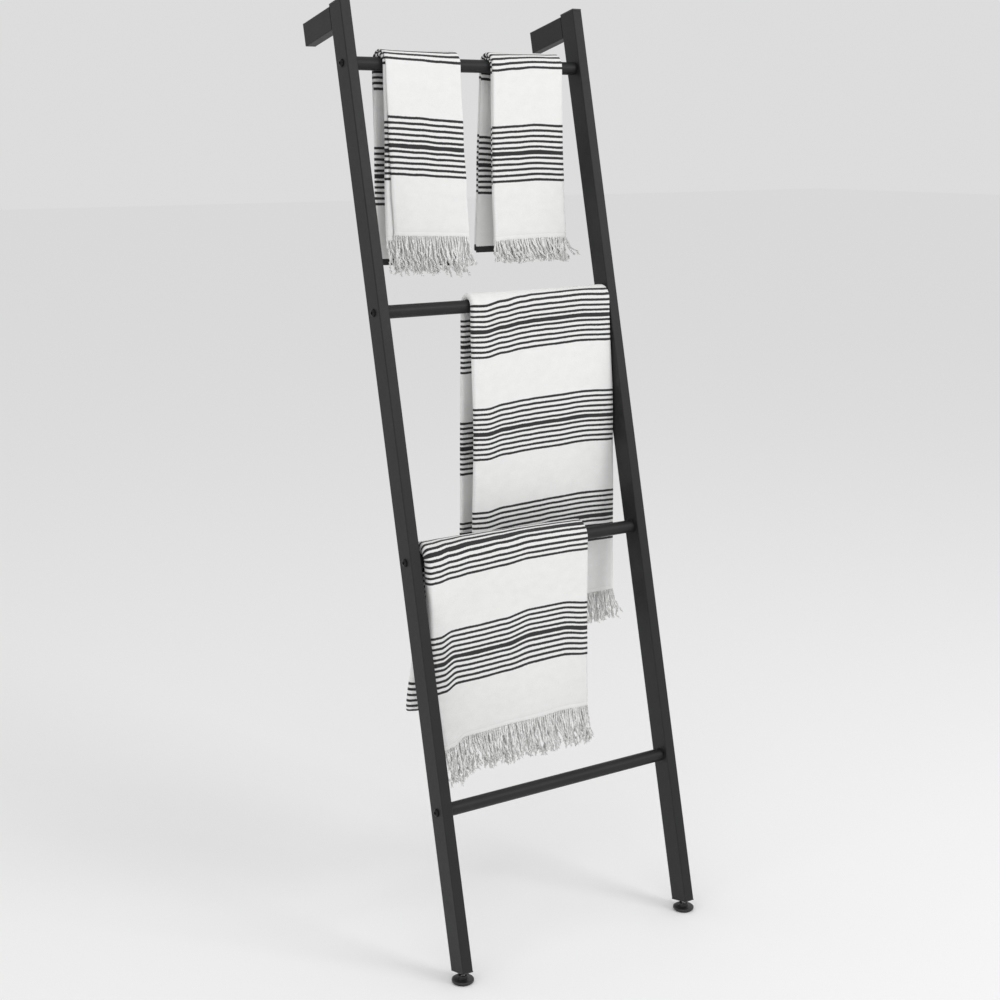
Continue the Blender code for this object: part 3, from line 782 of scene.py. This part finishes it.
# Lengths are in metres. The seven places are the front end, 30, 60 and 100 % of the front drop, where
# the cloth leaves the rung behind, 60 % down the back and the back end.
#   layers      how many layers the cloth is folded into, and sheet is how thick it is
#   steps       points across one layer, and step is about how far apart the rows are
#   flat        the whole cloth's width and length, with no fringe
#   longer      how far the front end hangs below the top of its CAD fringe
#   border      whether the back end has a dark border
#   pitch       from stripe to stripe, and bands is how far each band's middle is from the front end
#   arch        how far the outer layer stands off the rest over the rung
#   puff        shares of the width, then what the space between layers is multiplied by there
#   plump       the same for the seven places
#   edges       X of each selvedge or fold, in order, at the seven places
#   stand_off   how far the cloth stands off the drape's path at the seven places, on its right
#   sag         shares of the width, then how much lower the cloth lies there at the front end, halfway
#               down the front, on the rung and at the back end
#   slip        how much lower each selvedge or fold hangs, in order
#   ripple      waves across the width, their phase in radians and their depth
#   fringe      the fringe tree's sockets, by name
TOWELS = {
    "hand_towel_left": {
        "rung": "rung_1",
        "layers": 3,
        "sheet": 2.9 * MM,
        "steps": 24,
        "step": 5 * MM,
        "flat": (0.45, 0.698),
        "longer": -10 * MM,
        "border": True,
        "pitch": 9.6 * MM,
        "bands": [0.154, 0.348, 0.544],
        "arch": 0.0,
        "puff": ([0, 0.2, 0.5, 0.8, 1], [1.0, 0.9, 0.85, 0.9, 1.0]),
        "plump": (0.8, 0.9, 1.0, 1.0, 1.0, 0.95, 0.9),
        "edges": [
            (-0.1660, -0.1710, -0.1750, -0.1780, -0.1785, -0.1760, -0.174),
            (-0.0155, -0.0195, -0.0250, -0.0295, -0.0290, -0.0275, -0.026),
            (-0.1780, -0.1790, -0.1775, -0.1780, -0.1790, -0.1800, -0.182),
            (-0.0170, -0.0205, -0.0260, -0.0305, -0.0305, -0.0290, -0.028),
        ],
        "stand_off": (4 * MM, 3 * MM, 1.5 * MM, 0, 0, 1.5 * MM, 3 * MM),
        "sag": (
            [0, 0.4, 0.7, 1],
            [0, 0.002, 0.003, 0.004],
            [0, 0.002, 0.005, 0.007],
            [0, 0.001, 0.003, 0.004],
            [0, 0, 0.001, 0.002],
        ),
        "slip": [0.0, 0.003, 0.009, 0.014],
        "ripple": (1.3, 0.6, 0.7 * MM),
        "fringe": {"Seed": 3.0, "Length": 0.064, "Lean": 0.010},
    },
    "hand_towel_right": {
        "rung": "rung_1",
        "layers": 3,
        "sheet": 2.9 * MM,
        "steps": 24,
        "step": 5 * MM,
        "flat": (0.45, 0.704),
        "longer": 5 * MM,
        "border": True,
        "pitch": 9.7 * MM,
        "bands": [0.153, 0.353, 0.550],
        "arch": 0.0,
        "puff": ([0, 0.2, 0.5, 0.8, 1], [1.0, 0.9, 0.85, 0.9, 1.0]),
        "plump": (0.8, 0.9, 1.0, 1.0, 1.0, 0.95, 0.9),
        "edges": [
            (0.1970, 0.1920, 0.1885, 0.1870, 0.1870, 0.1850, 0.183),
            (0.0430, 0.0400, 0.0395, 0.0400, 0.0395, 0.0330, 0.028),
            (0.1960, 0.1910, 0.1875, 0.1865, 0.1865, 0.1845, 0.182),
            (0.0450, 0.0420, 0.0410, 0.0410, 0.0380, 0.0315, 0.0265),
        ],
        "stand_off": (3 * MM, 2 * MM, 1 * MM, 0, 0, 1 * MM, 2 * MM),
        "sag": (
            [0, 0.3, 0.6, 1],
            [0.001, 0, -0.001, 0],
            [0, -0.001, -0.003, 0],
            [0.006, 0.002, -0.001, 0],
            [0, 0, 0.001, 0.003],
        ),
        "slip": [0.0, 0.001, 0.004, 0.004],
        "ripple": (1.1, 2.1, 0.7 * MM),
        "fringe": {"Seed": 8.0, "Length": 0.043, "Lean": 0.012},
    },
    "bath_towel_upper": {
        "rung": "rung_2",
        "layers": 2,
        "sheet": 3.2 * MM,
        "steps": 60,
        "step": 5.5 * MM,
        "flat": (0.60, 1.173),
        "longer": 1 * MM,
        "border": False,
        "pitch": 9.1 * MM,
        "bands": [0.147, 0.335, 0.519, 0.701, 0.882, 1.063],
        "arch": 1 * MM,
        "puff": ([0, 0.08, 0.3, 0.7, 0.93, 1], [1.0, 1.0, 0.9, 0.9, 1.0, 1.0]),
        "plump": (0.7, 0.7, 0.8, 1.2, 1.15, 0.8, 0.7),
        "edges": [
            (0.2340, 0.2310, 0.2278, 0.2272, 0.2262, 0.2262, 0.2262),
            (-0.0785, -0.0695, -0.0660, -0.0665, -0.0640, -0.0680, -0.0730),
            (0.2350, 0.2315, 0.2278, 0.2270, 0.2262, 0.2262, 0.2262),
        ],
        "stand_off": (17 * MM, 19 * MM, 19 * MM, 2 * MM, 0, 2 * MM, 3 * MM),
        "sag": (
            [0, 0.08, 0.21, 0.36, 0.44, 0.56, 0.78, 1],
            [0.009, 0.010, 0.006, 0.005, 0.004, -0.001, 0.000, 0],
            [0.009, 0.010, 0.004, 0.002, 0.001, 0.000, -0.003, 0],
            [0.014, 0.015, 0.009, 0.003, 0.001, 0.000, -0.002, 0],
            [-0.010, -0.010, -0.006, -0.002, 0.000, 0.000, 0.000, 0],
        ),
        "slip": [0.0, 0.001, 0.004],
        "ripple": (1.6, 0.4, 0.9 * MM),
        "fringe": {"Seed": 14.0, "Length": 0.062, "Lean": 0.012},
    },
    "bath_towel_lower": {
        "rung": "rung_3",
        "layers": 2,
        "sheet": 3.6 * MM,
        "steps": 68,
        "step": 5 * MM,
        "flat": (0.68, 0.689),
        "longer": -5 * MM,
        "border": False,
        "pitch": 9.6 * MM,
        "bands": [0.149, 0.346, 0.442, 0.689],
        "arch": 6 * MM,
        "puff": ([0, 0.06, 0.2, 0.7, 0.94, 1], [1.1, 1.1, 1.1, 1.0, 0.95, 0.9]),
        "plump": (0.7, 0.7, 0.85, 1.75, 1.6, 0.9, 0.8),
        "edges": [
            (0.1170, 0.1150, 0.1130, 0.1090, 0.1090, 0.1115, 0.112),
            (-0.187, -0.204, -0.2140, -0.2215, -0.2225, -0.2240, -0.238),
            (0.1190, 0.1165, 0.1140, 0.1095, 0.1095, 0.1120, 0.112),
        ],
        "stand_off": (2 * MM, 3 * MM, 2 * MM, 0, 0, 2 * MM, 3 * MM),
        "sag": (
            [0, 0.05, 0.13, 0.26, 0.45, 0.62, 0.82, 1],
            [0.022, 0.018, 0.004, 0.004, 0.001, 0.001, -0.002, 0.001],
            [0.013, 0.013, 0.003, 0.003, 0.001, -0.009, -0.009, 0],
            [0.015, 0.014, 0.010, 0.006, 0.003, -0.001, -0.001, 0],
            [-0.012, -0.010, -0.006, -0.004, -0.001, 0.002, 0.003, 0.004],
        ),
        "slip": [0.0, 0.001, 0.004],
        "ripple": (1.4, 1.7, 0.9 * MM),
        "fringe": {"Seed": 21.0, "Length": 0.076, "Lean": 0.014},
    },
}

make_camera()
make_studio()
finish_frame()
COTTON = towel_cotton()
FRINGE = fringe_tree(fringe_yarn())
for towel_name, towel_spec in TOWELS.items():
    build_towel(towel_name, towel_spec, COTTON)
